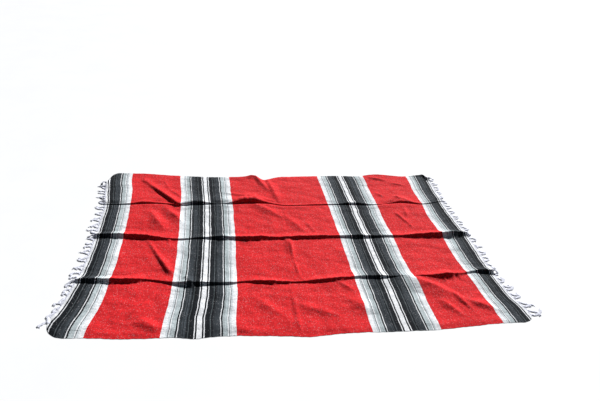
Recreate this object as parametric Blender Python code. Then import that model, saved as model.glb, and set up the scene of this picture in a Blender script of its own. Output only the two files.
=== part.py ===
"""A striped, woven picnic blanket with a knotted fringe on its two short ends, spread out on level ground.

The cloth lies as it does after it has been shaken out of its folded bundle: two sharp ridges and one
valley run along it where it was folded, softer diagonal folds cross the panels between them, and its
short ends are drawn in at the middle and splay at the corners. Metres, +X along the length, +Y to the far
long edge, +Z up, the ground at z = 0.
"""

import math
import random
from typing import NamedTuple

import bmesh
import bpy
import numpy as np

MM = 0.001

# The woven cloth, measured flat
LENGTH = 1.85
WIDTH = 1.32
THICKNESS = 3.0 * MM
HALF_LENGTH = LENGTH / 2
HALF_WIDTH = WIDTH / 2

# The three fold lines that the stored bundle leaves, across the width
FAR_LINE = WIDTH / 4
MIDDLE_LINE = 0.0
NEAR_LINE = -WIDTH / 4

# How wide each side of a ridge is. The far side is long and the near side is steep
RIDGE_FAR_SIDE = 75.0
RIDGE_NEAR_SIDE = 42.0
VALLEY_FAR_SIDE = 30.0
VALLEY_NEAR_SIDE = 14.0
VALLEY_PRESS = 9.0
CREST_ROUNDING = 0.04
LINE_STRAY_REACH = 0.14

# The edges: how far their own waves reach into the cloth
EDGE_REACH = 0.11
LIFT_REACH = 0.07
NEAR_HEM_RISE = 4.0
NEAR_HEM_RUN = 0.022

# The ground takes every place where the folds leave the cloth lower than this
SETTLE = 1.5
GROUND_BIAS = 2.6
UNION_POWER = 3.0

# The fringe
FRINGE_GAP = 0.4 * MM
BACKING_WIDTH = 7.0 * MM
STATION_GAP = 1.5 * MM
TASSEL_PITCH = 27.0 * MM
TASSEL_WIDTH = 6.5 * MM
TASSEL_HEIGHT = 6.0 * MM
TASSEL_SHORTEST = 40.0 * MM
TASSEL_LONGEST = 56.0 * MM
NEAR_RIGHT_EXTRA = 8.0 * MM
TASSEL_STEPS = 4
TASSEL_STRAY = 0.05
TASSEL_CURL = 0.25
TASSEL_TIP = 0.75
TASSEL_SEED = 11
DROOP_REACH = 34.0 * MM


class Corner(NamedTuple):
    """A rounded corner of the cloth: how much it takes off along and across."""

    along: float
    across: float


NEAR_LEFT = Corner(0.082, 0.084)
NEAR_RIGHT = Corner(0.040, 0.040)
FAR_LEFT = Corner(0.032, 0.110)
FAR_RIGHT = Corner(0.018, 0.020)


class Pull(NamedTuple):
    """How far the cloth is drawn along +X, in mm, on one line across it."""

    across: float
    left_end: float
    left_outer: float
    left_inner: float
    right_inner: float
    right_outer: float
    right_end: float


PULL_STATIONS = (-HALF_LENGTH, -0.788, -0.400, 0.400, 0.788, HALF_LENGTH)
PULLS = (
    Pull(-0.66, -30, -26, -14, 2, 18, 27),
    Pull(-0.56, -22, -16, -12, 1, 14, 16),
    Pull(-0.47, 4, 2, -4, 2, 6, -10),
    Pull(-0.33, 24, 10, 3, -1, -1, -12),
    Pull(-0.17, 26, 16, 4, -3, -9, -9),
    Pull(0.00, 26, 15, 6, -1, -2, -4),
    Pull(0.17, 22, 12, 3, -3, -8, -8),
    Pull(0.33, 20, 7, 0, -2, 0, -10),
    Pull(0.49, 2, -5, -10, -3, 1, 2),
    Pull(0.60, -14, -24, -15, -4, 12, 10),
    Pull(0.66, -20, -28, -18, -5, 15, 13),
)


class Line(NamedTuple):
    """A ridge that runs along the cloth: its stray across and its height, in mm."""

    along: float
    stray: float
    height: float


MIDDLE_RIDGE = (
    Line(-0.93, 21, 26),
    Line(-0.78, 23, 26),
    Line(-0.66, 12, 21),
    Line(-0.52, -15, 9),
    Line(-0.36, -3, 17),
    Line(-0.24, -11, 14),
    Line(-0.04, -9, 9),
    Line(0.12, -8, 15),
    Line(0.36, -11, 18),
    Line(0.52, -19, 11),
    Line(0.68, -5, 19),
    Line(0.80, 8, 23),
    Line(0.93, 12, 26),
)
NEAR_RIDGE = (
    Line(-0.93, 25, 24),
    Line(-0.78, 24, 24),
    Line(-0.62, 16, 15),
    Line(-0.52, -16, 18),
    Line(-0.42, -17, 10),
    Line(-0.26, -23, 13),
    Line(-0.06, -25, 10),
    Line(0.10, -21, 13),
    Line(0.26, -6, 15),
    Line(0.37, -3, 17),
    Line(0.52, -5, 12),
    Line(0.67, 0, 18),
    Line(0.79, 15, 18),
    Line(0.93, 30, 22),
)


class Valley(NamedTuple):
    """The line where the fold points down: its stray, and the swell on each side of it, in mm."""

    along: float
    stray: float
    far_swell: float
    near_swell: float


FAR_VALLEY = (
    Valley(-0.93, -3, 12, 6),
    Valley(-0.80, -5, 13, 6),
    Valley(-0.63, 5, 7, 5),
    Valley(-0.54, -22, 12, 7),
    Valley(-0.42, 8, 12, 5),
    Valley(-0.26, -2, 20, 6),
    Valley(-0.14, 8, 11, 7),
    Valley(-0.04, 8, 3, 8),
    Valley(0.12, -3, 4, 8),
    Valley(0.30, -9, 9, 7),
    Valley(0.52, -18, 6, 5),
    Valley(0.67, 8, 13, 6),
    Valley(0.79, -14, 6, 5),
    Valley(0.93, 16, 14, 6),
)


class Fold(NamedTuple):
    """A loose fold: its crest from start to end in metres, heights and side widths in mm."""

    start_x: float
    start_y: float
    end_x: float
    end_y: float
    start: float
    middle: float
    end: float
    shade_side: float
    sun_side: float


FOLDS = (
    Fold(-0.705, 0.590, -0.545, 0.320, 3, 20, 15, 40, 75),
    Fold(-0.125, 0.665, -0.055, 0.470, 16, 11, 4, 42, 40),
    Fold(-0.055, 0.610, -0.012, 0.350, 6, 10, 8, 40, 60),
    Fold(-0.330, 0.465, -0.045, 0.352, 5, 15, 9, 45, 70),
    Fold(-0.130, 0.315, -0.020, 0.200, 10, 11, 5, 42, 60),
    Fold(0.010, 0.200, 0.090, 0.045, 3, 9, 5, 42, 60),
    Fold(-0.690, 0.280, -0.600, 0.095, 4, 9, 4, 45, 60),
    Fold(-0.600, 0.290, -0.500, 0.110, 6, 12, 7, 42, 60),
    Fold(-0.600, -0.140, -0.545, -0.260, 2, 8, 12, 40, 55),
    Fold(-0.010, -0.500, 0.140, -0.575, 5, 11, 6, 48, 65),
    Fold(0.545, 0.465, 0.605, 0.385, 4, 9, 5, 40, 55),
    Fold(0.545, -0.350, 0.690, -0.470, 5, 12, 10, 60, 60),
    Fold(0.690, -0.520, 0.805, -0.560, 9, 11, 5, 45, 60),
)


class Edge(NamedTuple):
    """One place on a long edge: how far it stands out past the half width and how far it lifts, in mm."""

    along: float
    out: float
    lift: float


FAR_EDGE = (
    Edge(-0.925, 14, 14),
    Edge(-0.820, 7, 6),
    Edge(-0.700, 8, 4),
    Edge(-0.550, -7, 0),
    Edge(-0.270, -14, 0),
    Edge(-0.160, -8, 7),
    Edge(-0.124, -8, 16),
    Edge(-0.090, -22, 6),
    Edge(-0.057, -48, 0),
    Edge(-0.025, -34, 0),
    Edge(0.014, -15, 0),
    Edge(0.100, -5, 0),
    Edge(0.370, 3, 2),
    Edge(0.530, 2, 3),
    Edge(0.570, 9, 8),
    Edge(0.705, 9, 8),
    Edge(0.750, 5, 4),
    Edge(0.925, 12, 13),
)
NEAR_EDGE = (
    Edge(-0.925, -26, 0),
    Edge(-0.830, -26, 0),
    Edge(-0.620, -9, 0),
    Edge(-0.350, -1, 0),
    Edge(-0.060, 10, 0),
    Edge(0.021, 17, 0),
    Edge(0.130, 7, 0),
    Edge(0.376, 8, 0),
    Edge(0.540, 6, 0),
    Edge(0.640, -3, 0),
    Edge(0.800, -15, 0),
    Edge(0.925, -14, 0),
)


class Lean(NamedTuple):
    """Which way the tassels lie at one place across the blanket: their turn towards +Y, in radians."""

    across: float
    left: float
    right: float


LEANS = (
    Lean(-0.62, -0.65, -0.10),
    Lean(-0.54, -0.50, 0.10),
    Lean(-0.47, -0.25, -0.05),
    Lean(-0.40, -0.05, 0.20),
    Lean(-0.30, 0.10, 0.05),
    Lean(-0.18, -0.12, -0.10),
    Lean(-0.05, 0.12, 0.12),
    Lean(0.10, -0.10, 0.00),
    Lean(0.25, 0.15, 0.18),
    Lean(0.40, -0.05, 0.05),
    Lean(0.55, 0.22, 0.22),
    Lean(0.66, 0.30, 0.10),
)


class Wave(NamedTuple):
    """One broad swell of the ground under the cloth: wave lengths in metres, turn, height in mm."""

    length: float
    heading: float
    phase: float
    height: float


WAVES = (
    Wave(0.62, 0.5, 0.4, 1.9),
    Wave(0.43, 2.0, 2.1, 1.6),
    Wave(0.29, 1.2, 4.0, 1.2),
    Wave(0.24, 2.7, 1.0, 0.9),
)

# Where the solid has its lines of points: close together over the folds, and wide apart between them
LINE_OFFSETS = (-0.078, -0.036, -0.013, 0.0, 0.013, 0.036, 0.078)
ROWS_BETWEEN = (0.115, 0.165, 0.215)
ROWS_TO_EDGE = (0.455, 0.515, 0.570, 0.615, 0.642, HALF_WIDTH)
COLUMNS_AT_END = (0.0, 0.006, 0.018, 0.038, 0.068)
COLUMN_PITCH = 0.042
COLUMNS_AT_FAR_DIP = (-0.158, -0.124, -0.090, -0.057, -0.025, 0.014, 0.055)
EDGE_ROWS_FROM = 0.40


def through(stations, values, at):
    """A smooth curve through the values at the stations, level past both ends.

    The values are one number for each station, or one row of numbers with a number for each place.
    """
    stations = np.asarray(stations, float)
    values = np.asarray(values, float)
    if values.ndim == 1:
        values = np.repeat(values[:, None], at.size, axis=1)
    slopes = np.gradient(values, stations, axis=0)
    at = np.clip(at, stations[0], stations[-1])
    low = np.clip(np.searchsorted(stations, at) - 1, 0, len(stations) - 2)
    place = np.arange(at.size)
    span = stations[low + 1] - stations[low]
    u = (at - stations[low]) / span
    return (
        (1 + 2 * u) * (1 - u) ** 2 * values[low, place]
        + u * (1 - u) ** 2 * span * slopes[low, place]
        + u * u * (3 - 2 * u) * values[low + 1, place]
        + u * u * (u - 1) * span * slopes[low + 1, place]
    )


def column(rows, name, at):
    """One named column of a table, read at each place along the cloth."""
    stations = [row.along for row in rows]
    return through(stations, [getattr(row, name) for row in rows], at)


def fade(distance, reach):
    """1 at no distance, 0 from the reach on, with no kink at either."""
    u = np.clip(1 - np.abs(distance) / reach, 0, 1)
    return u * u * (3 - 2 * u)


def slope_off(distance, reach):
    """The side of a fold: steep at its crest, level where it meets the ground."""
    u = np.abs(distance) / reach
    u = np.sqrt(u * u + CREST_ROUNDING**2) - CREST_ROUNDING
    return np.clip(1 - u, 0, 1) ** 2


def corner_cut(inside, corner):
    """How much a rounded corner takes off across the cloth, that far inside its end."""
    u = np.clip(1 - inside / corner.along, 0, 1)
    return corner.across * (1 - np.sqrt(1 - u * u))


def near_limit(along):
    """The near long edge of the flat cloth, with its two rounded corners."""
    cut = corner_cut(HALF_LENGTH + along, NEAR_LEFT) + corner_cut(HALF_LENGTH - along, NEAR_RIGHT)
    return -HALF_WIDTH + cut


def far_limit(along):
    """The far long edge of the flat cloth, with its two rounded corners."""
    cut = corner_cut(HALF_LENGTH + along, FAR_LEFT) + corner_cut(HALF_LENGTH - along, FAR_RIGHT)
    return HALF_WIDTH - cut


def plan(along, across):
    """Where each place of the flat cloth lies on the ground, seen from above."""
    stations = [row.across for row in PULLS]
    columns = [[row[1 + k] for row in PULLS] for k in range(len(PULL_STATIONS))]
    pull = through(PULL_STATIONS, [through(stations, values, across) for values in columns], along)
    x = along + pull * MM
    y = across + column(MIDDLE_RIDGE, "stray", along) * fade(across - MIDDLE_LINE, LINE_STRAY_REACH) * MM
    y += column(NEAR_RIDGE, "stray", along) * fade(across - NEAR_LINE, LINE_STRAY_REACH) * MM
    y += column(FAR_VALLEY, "stray", along) * fade(across - FAR_LINE, LINE_STRAY_REACH) * MM
    y += column(FAR_EDGE, "out", along) * fade(far_limit(along) - across, EDGE_REACH) * MM
    y -= column(NEAR_EDGE, "out", along) * fade(across - near_limit(along), EDGE_REACH) * MM
    return x, y


def ridge(rows, line, along, across):
    """The height of one long ridge, in mm."""
    off = (across - line) / MM
    side = np.where(off > 0, RIDGE_FAR_SIDE, RIDGE_NEAR_SIDE)
    return column(rows, "height", along) * slope_off(off, side)


def valley_swell(along, across):
    """The swell on both sides of the far fold line, in mm. It is nothing on the line itself."""
    off = (across - FAR_LINE) / MM
    far = np.clip(off, 0, None) / VALLEY_FAR_SIDE
    near = np.clip(-off, 0, None) / VALLEY_NEAR_SIDE
    far_part = column(FAR_VALLEY, "far_swell", along) * far * np.exp(1 - far)
    near_part = column(FAR_VALLEY, "near_swell", along) * near * np.exp(1 - near)
    return far_part + near_part


def fold_height(fold, x, y):
    """The height of one loose fold, in mm, at places on the ground."""
    run_x = fold.end_x - fold.start_x
    run_y = fold.end_y - fold.start_y
    reach = math.hypot(run_x, run_y)
    share = ((x - fold.start_x) * run_x + (y - fold.start_y) * run_y) / reach**2
    share = np.clip(share, 0, 1)
    away = np.hypot(x - fold.start_x - share * run_x, y - fold.start_y - share * run_y) / MM
    on_sun_side = run_x * (y - fold.start_y) - run_y * (x - fold.start_x) > 0
    side = np.where(on_sun_side, fold.sun_side, fold.shade_side)
    crest = (
        fold.start * (1 - share) * (1 - 2 * share)
        + fold.middle * 4 * share * (1 - share)
        + fold.end * share * (2 * share - 1)
    )
    return np.clip(crest, 0, None) * slope_off(away, side)


def broad_waves(x, y):
    """The broad, shallow swells all over the cloth, in mm."""
    total = -GROUND_BIAS
    for wave in WAVES:
        run = x * math.cos(wave.heading) + y * math.sin(wave.heading)
        total = total + wave.height * np.sin(2 * math.pi * run / wave.length + wave.phase)
    return total


def settled(height):
    """The height with the ground under it: nothing is below 0, and it leaves the ground gently."""
    rising = (height + SETTLE) ** 2 / (4 * SETTLE)
    return np.where(height > SETTLE, height, np.where(height > -SETTLE, rising, 0.0))


def underside(along, across):
    """The height of the cloth's underside over the ground, in metres."""
    x, y = plan(along, across)
    heights = [
        ridge(MIDDLE_RIDGE, MIDDLE_LINE, along, across),
        ridge(NEAR_RIDGE, NEAR_LINE, along, across),
        valley_swell(along, across),
        column(FAR_EDGE, "lift", along) * slope_off(far_limit(along) - across, LIFT_REACH),
    ]
    inside = np.clip(across - near_limit(along), 0, None) / NEAR_HEM_RUN
    heights.append(NEAR_HEM_RISE * inside * np.exp(1 - inside))
    heights += [fold_height(fold, x, y) for fold in FOLDS]
    joined = sum(np.clip(height, 0, None) ** UNION_POWER for height in heights) ** (1 / UNION_POWER)
    off_valley = np.abs(across - FAR_LINE) / MM
    pressed = off_valley / (off_valley + VALLEY_PRESS)
    return settled((joined + broad_waves(x, y)) * pressed) * MM


def surface_height(along, across):
    """The underside and the upper side at each place, the cloth being as thick on a slope."""
    low = underside(along, across)
    step = 1.0 * MM
    rise_along = (underside(along + step, across) - underside(along - step, across)) / (2 * step)
    rise_across = (underside(along, across + step) - underside(along, across - step)) / (2 * step)
    steepness = np.sqrt(1 + rise_along**2 + rise_across**2)
    return low, low + THICKNESS * np.minimum(steepness, 1.3)


def row_values():
    """The lines of points across the cloth, from the near edge to the far edge."""
    rows = [line + offset for line in (NEAR_LINE, MIDDLE_LINE, FAR_LINE) for offset in LINE_OFFSETS]
    rows += [side * value for side in (-1, 1) for value in ROWS_BETWEEN + ROWS_TO_EDGE]
    return np.array(sorted(rows))


def column_values():
    """The lines of points along the cloth, from its left end to its right end."""
    ends = [side * (HALF_LENGTH - inside) for side in (-1, 1) for inside in COLUMNS_AT_END]
    left_from = -HALF_LENGTH + COLUMNS_AT_END[-1]
    right_to = HALF_LENGTH - COLUMNS_AT_END[-1]
    left_count = round((COLUMNS_AT_FAR_DIP[0] - left_from) / COLUMN_PITCH)
    right_count = round((right_to - COLUMNS_AT_FAR_DIP[-1]) / COLUMN_PITCH)
    left = np.linspace(left_from, COLUMNS_AT_FAR_DIP[0], left_count + 1)[1:-1]
    right = np.linspace(COLUMNS_AT_FAR_DIP[-1], right_to, right_count + 1)[1:-1]
    return np.array(sorted(ends + list(left) + list(COLUMNS_AT_FAR_DIP) + list(right)))


def fitted_rows(rows, along):
    """The rows at one column, drawn in where a rounded corner shortens it."""
    near = (near_limit(along) + EDGE_ROWS_FROM) / (EDGE_ROWS_FROM - HALF_WIDTH)
    far = (far_limit(along) - EDGE_ROWS_FROM) / (HALF_WIDTH - EDGE_ROWS_FROM)
    across = np.where(rows < -EDGE_ROWS_FROM, -EDGE_ROWS_FROM + (rows + EDGE_ROWS_FROM) * near, rows)
    return np.where(rows > EDGE_ROWS_FROM, EDGE_ROWS_FROM + (rows - EDGE_ROWS_FROM) * far, across)


def cloth_points():
    """The points of the cloth as two grids, one for each side, indexed by column and then by row."""
    columns = column_values()
    rows = row_values()
    across = np.array([fitted_rows(rows, along) for along in columns])
    along = np.repeat(columns[:, None], len(rows), axis=1)
    x, y = plan(along.ravel(), across.ravel())
    low, high = surface_height(along.ravel(), across.ravel())
    shape = (len(columns), len(rows), 3)
    return np.stack([x, y, low], -1).reshape(shape), np.stack([x, y, high], -1).reshape(shape)


def own_material(name, colour, roughness):
    """A plain finish of one colour."""
    material = bpy.data.materials.new(name)
    material.use_nodes = True
    shader = material.node_tree.nodes["Principled BSDF"]
    shader.inputs["Base Color"].default_value = (*colour, 1.0)
    shader.inputs["Roughness"].default_value = roughness
    shader.inputs["Metallic"].default_value = 0.0
    return material


def add_object(name, mesh_data, material):
    """Puts a finished bmesh into the scene as an object of its own."""
    bmesh.ops.recalc_face_normals(mesh_data, faces=mesh_data.faces[:])
    mesh = bpy.data.meshes.new(name)
    mesh_data.to_mesh(mesh)
    mesh_data.free()
    mesh.materials.append(material)
    mesh.shade_smooth()
    mesh.set_sharp_from_angle(angle=math.radians(40))
    made = bpy.data.objects.new(name, mesh)
    bpy.context.scene.collection.objects.link(made)
    return made


def build_blanket():
    """The one-piece cloth: both sides on the same folds, and a rim round its outline."""
    low, high = cloth_points()
    cloth = bmesh.new()
    under = [[cloth.verts.new(point) for point in line] for line in low]
    upper = [[cloth.verts.new(point) for point in line] for line in high]
    columns, rows = low.shape[:2]
    for i in range(columns - 1):
        for j in range(rows - 1):
            cell = ((i, j), (i + 1, j), (i + 1, j + 1), (i, j + 1))
            corners = [high[place] for place in cell]
            down = np.linalg.norm(corners[0] - corners[2]) <= np.linalg.norm(corners[1] - corners[3])
            for triangle in ((0, 1, 2), (0, 2, 3)) if down else ((0, 1, 3), (1, 2, 3)):
                cloth.faces.new([upper[cell[k][0]][cell[k][1]] for k in triangle])
                cloth.faces.new([under[cell[k][0]][cell[k][1]] for k in reversed(triangle)])
    rim = [(i, 0) for i in range(columns)]
    rim += [(columns - 1, j) for j in range(1, rows)]
    rim += [(i, rows - 1) for i in range(columns - 2, -1, -1)]
    rim += [(0, j) for j in range(rows - 2, 0, -1)]
    for (a, b), (c, d) in zip(rim, rim[1:] + rim[:1]):
        cloth.faces.new((under[a][b], under[c][d], upper[c][d], upper[a][b]))
    red = own_material("red_weave", (0.62, 0.032, 0.038), 0.92)
    return add_object("blanket", cloth, red)


def tassel_places(near, far):
    """The middles of the tassels along one end of the cloth, evenly spread."""
    count = int((far - near - TASSEL_PITCH) / TASSEL_PITCH)
    first = (near + far - (count - 1) * TASSEL_PITCH) / 2
    return [first + k * TASSEL_PITCH for k in range(count)]


def tassel_section(x, y, turn, low, width):
    """The four corners of a tassel at one place along it, in the order of its root on the backing."""
    side_x = -math.sin(turn) * width / 2
    side_y = math.cos(turn) * width / 2
    high = low + TASSEL_HEIGHT
    return [
        (x - side_x, y - side_y, low),
        (x + side_x, y + side_y, low),
        (x + side_x, y + side_y, high),
        (x - side_x, y - side_y, high),
    ]


def tassel_lean(root_y, outward):
    """The way that the tassels lie where this one is rooted."""
    leans = [row.right if outward > 0 else row.left for row in LEANS]
    return through([row.across for row in LEANS], leans, np.array([root_y]))[0]


def tassel_sections(root_x, root_y, outward, lift, draws):
    """The sections of one tassel from its root out: it droops to the ground and lies level there."""
    reach = draws.uniform(TASSEL_SHORTEST, TASSEL_LONGEST)
    if outward > 0:
        reach += NEAR_RIGHT_EXTRA * fade(root_y + HALF_WIDTH, HALF_WIDTH)
    lean = tassel_lean(root_y, outward) + draws.uniform(-TASSEL_STRAY, TASSEL_STRAY)
    curl = draws.uniform(-TASSEL_CURL, TASSEL_CURL)
    x, y = root_x, root_y
    sections = []
    for k in range(1, TASSEL_STEPS + 1):
        share = k / TASSEL_STEPS
        turn = lean + curl * math.cos(math.pi * share)
        x += outward * math.cos(turn) * reach / TASSEL_STEPS
        y += math.sin(turn) * reach / TASSEL_STEPS
        low = lift * max(0.0, 1 - reach * share / DROOP_REACH) ** 1.5
        width = TASSEL_WIDTH * (TASSEL_TIP if k == TASSEL_STEPS else 1.0)
        sections.append(tassel_section(x, y, outward * turn, low, width))
    return sections


def backing_stations(edge_y, middles):
    """The places along a backing: both sides of each tassel, and the cloth's own rows between them."""
    half = TASSEL_WIDTH / 2
    roots = [middle + side * half for middle in middles for side in (-1, 1)]
    free = [y for y in edge_y if all(abs(y - middle) > half + STATION_GAP for middle in middles)]
    return np.array(sorted(roots + free))


def build_fringe(name, end, outward):
    """A narrow backing along one end of the cloth, with its row of tassels growing out of it."""
    low, high = cloth_points()
    edge_x, edge_y, edge_low = low[end].T
    middles = tassel_places(edge_y[0], edge_y[-1])
    stations = backing_stations(edge_y, middles)
    inner = np.interp(stations, edge_y, edge_x) + outward * FRINGE_GAP
    outer = inner + outward * BACKING_WIDTH
    bottom = np.interp(stations, edge_y, edge_low)
    top = np.interp(stations, edge_y, high[end][:, 2])
    fringe = bmesh.new()
    rings = []
    for k, y in enumerate(stations):
        corners = ((inner[k], bottom[k]), (outer[k], bottom[k]), (outer[k], top[k]), (inner[k], top[k]))
        rings.append([fringe.verts.new((x, y, z)) for x, z in corners])
    fringe.faces.new(rings[0])
    fringe.faces.new(rings[-1])
    draws = random.Random(TASSEL_SEED + end)
    for k, (first, second) in enumerate(zip(rings, rings[1:])):
        for a, b in ((0, 1), (2, 3), (3, 0)):
            fringe.faces.new((first[a], first[b], second[b], second[a]))
        root_x = (outer[k] + outer[k + 1]) / 2
        root_y = (stations[k] + stations[k + 1]) / 2
        section = [first[1], second[1], second[2], first[2]]
        if min(abs(root_y - middle) for middle in middles) < TASSEL_WIDTH / 4:
            for points in tassel_sections(root_x, root_y, outward, bottom[k], draws):
                ring = [fringe.verts.new(point) for point in points]
                for a, b in ((0, 1), (1, 2), (2, 3), (3, 0)):
                    fringe.faces.new((section[a], section[b], ring[b], ring[a]))
                section = ring
        fringe.faces.new(section)
    white = own_material(name + "_yarn", (0.80, 0.80, 0.83), 0.9)
    return add_object(name, fringe, white)


def clear_scene():
    """Takes out whatever the scene holds."""
    for thing in list(bpy.data.objects):
        bpy.data.objects.remove(thing, do_unlink=True)


def main():
    clear_scene()
    build_blanket()
    build_fringe("fringe_left", 0, -1)
    build_fringe("fringe_right", -1, 1)


main()
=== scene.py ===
"""The finished look of a striped, woven picnic blanket with a knotted fringe on its two short ends.

The cloth lies as it does after it has been shaken out of its folded bundle. Two sharp ridges and one valley
run along it where it was folded, and looser folds and creases cross the panels between them. Metres, +X
along the length, +Y to the far long edge, +Z up, and the ground at z = 0.
"""

import logging
import math
import random
from collections.abc import Sequence
from dataclasses import dataclass, field
from enum import Enum
from typing import NamedTuple

import bpy
import numpy as np
from bpy.types import Material, Mesh, Node, NodeTree, Object
from bpy.types import NodeSocket as Socket
from mathutils import Matrix, Vector


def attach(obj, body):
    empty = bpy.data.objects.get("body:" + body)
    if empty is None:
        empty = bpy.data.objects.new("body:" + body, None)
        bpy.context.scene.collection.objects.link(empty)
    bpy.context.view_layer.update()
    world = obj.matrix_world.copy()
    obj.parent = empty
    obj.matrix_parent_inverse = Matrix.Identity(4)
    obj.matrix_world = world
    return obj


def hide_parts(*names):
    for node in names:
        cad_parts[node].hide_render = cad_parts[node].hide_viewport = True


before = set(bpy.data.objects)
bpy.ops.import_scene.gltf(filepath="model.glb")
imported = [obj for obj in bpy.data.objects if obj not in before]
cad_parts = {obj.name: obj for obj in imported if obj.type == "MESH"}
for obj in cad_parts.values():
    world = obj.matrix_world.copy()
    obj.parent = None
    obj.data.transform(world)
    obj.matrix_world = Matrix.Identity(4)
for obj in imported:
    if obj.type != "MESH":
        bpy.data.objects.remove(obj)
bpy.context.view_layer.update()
log = logging.getLogger("picnic_blanket")

MM = 0.001
GRADING_SAMPLES = 4001
Array = np.ndarray
Colour = tuple[float, float, float]
Sockets = bpy.types.bpy_prop_collection
Feed = Socket | float | Sequence[float]


class Corner(NamedTuple):
    """A rounded corner: how much it takes off along and across, and how much of the end is turned under."""

    along: float
    across: float
    under: float


class Pull(NamedTuple):
    """How far the cloth is drawn along +X, in mm, on one line across it."""

    across: float
    left_end: float
    left_outer: float
    left_inner: float
    right_inner: float
    right_outer: float
    right_end: float


class Line(NamedTuple):
    """A ridge that runs along the cloth: its stray across and its height, in mm."""

    along: float
    stray: float
    height: float


class Valley(NamedTuple):
    """The line where the fold points down: its stray, the swell on each side of it, and its lip, in mm."""

    along: float
    stray: float
    far_swell: float
    near_swell: float
    lip: float


class Fold(NamedTuple):
    """A loose fold: its crest from start to end in metres, heights and side widths in mm."""

    start_x: float
    start_y: float
    end_x: float
    end_y: float
    start: float
    middle: float
    end: float
    shade_side: float
    sun_side: float


class Edge(NamedTuple):
    """One place on a long edge: how far it stands out past the half width and how far it lifts, in mm."""

    along: float
    out: float
    lift: float = 0.0


class Wave(NamedTuple):
    """One swell of the ground under the cloth: wave length in metres, heading, phase, height in mm."""

    length: float
    heading: float
    phase: float
    height: float


def table(kind: type[NamedTuple], *rows: tuple[float, ...]) -> tuple[NamedTuple, ...]:
    """Names the numbers of each row by its kind."""
    return tuple(kind(*row) for row in rows)


PULLS = table(
    Pull,
    (-0.66, -46, -32, -14, 2, 18, 27), (-0.56, -38, -22, -12, 1, 14, 16), (-0.47, -14, -3, -4, 2, 7, -4),
    (-0.33, 12, 8, 3, -1, -1, -12), (-0.17, 24, 16, 4, -3, -9, -9), (0.00, 26, 15, 6, -1, -2, -4),
    (0.17, 22, 12, 3, -3, -8, -8), (0.33, 18, 7, 0, -2, 0, -10), (0.49, -8, -5, -10, -3, 1, 2),
    (0.60, -24, -24, -15, -4, 12, 10), (0.66, -30, -28, -18, -5, 15, 13),
)
PULL_STATIONS = (-0.925, -0.788, -0.400, 0.400, 0.788, 0.925)
MIDDLE_RIDGE = table(
    Line,
    (-0.93, 38, 19), (-0.80, 32, 18), (-0.73, 24, 20), (-0.67, 16, 19), (-0.61, 5, 12), (-0.52, -3, 8),
    (-0.42, 6, 11), (-0.32, 3, 17), (-0.26, 0, 16), (-0.20, -6, 21), (-0.12, -3, 18), (-0.04, -6, 11),
    (0.04, -4, 14), (0.12, -2, 15), (0.25, 1, 10), (0.36, -2, 17), (0.43, -4, 15), (0.50, 0, 12),
    (0.56, -2, 12), (0.64, -1, 20), (0.72, 1, 21), (0.86, 4, 26), (0.93, 8, 19),
)
NEAR_RIDGE = table(
    Line,
    (-0.93, 34, 16), (-0.85, 28, 19), (-0.75, 21, 20), (-0.69, 19, 17), (-0.64, 22, 10), (-0.59, 13, 9),
    (-0.52, -6, 11), (-0.44, -12, 15), (-0.36, -13, 11), (-0.28, -13, 10), (-0.22, -6, 8), (-0.15, -10, 14),
    (-0.07, -17, 16), (0.00, -18, 10), (0.09, -14, 15), (0.19, -3, 14), (0.28, 6, 9), (0.38, 1, 11),
    (0.45, 0, 9), (0.52, 2, 7), (0.57, 4, 8), (0.61, -1, 12), (0.66, -1, 20), (0.71, 1, 21), (0.76, 9, 14),
    (0.83, 26, 13), (0.93, 20, 20),
)
FAR_VALLEY = table(
    Valley,
    (-0.93, -3, 12, 6, 3), (-0.80, -2, 13, 6, 6), (-0.73, 6, 11, 6, 10), (-0.66, 6, 9, 6, 6),
    (-0.60, 0, 7, 5, 4), (-0.54, -22, 10, 7, 12), (-0.46, -6, 8, 5, 17), (-0.40, -6, 10, 5, 13),
    (-0.34, -2, 14, 6, 3), (-0.26, -2, 14, 6, 11), (-0.20, 4, 12, 7, 23), (-0.13, 3, 10, 7, 22),
    (-0.06, -2, 5, 8, 7), (0.00, -20, 4, 8, 4), (0.10, -22, 4, 8, 4), (0.20, -18, 6, 7, 5),
    (0.32, -15, 9, 7, 6), (0.41, -17, 8, 6, 12), (0.49, -21, 6, 5, 6), (0.59, -8, 8, 6, 3),
    (0.67, 2, 13, 6, 11), (0.79, -14, 6, 5, 5), (0.93, 16, 14, 6, 5),
)
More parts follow.
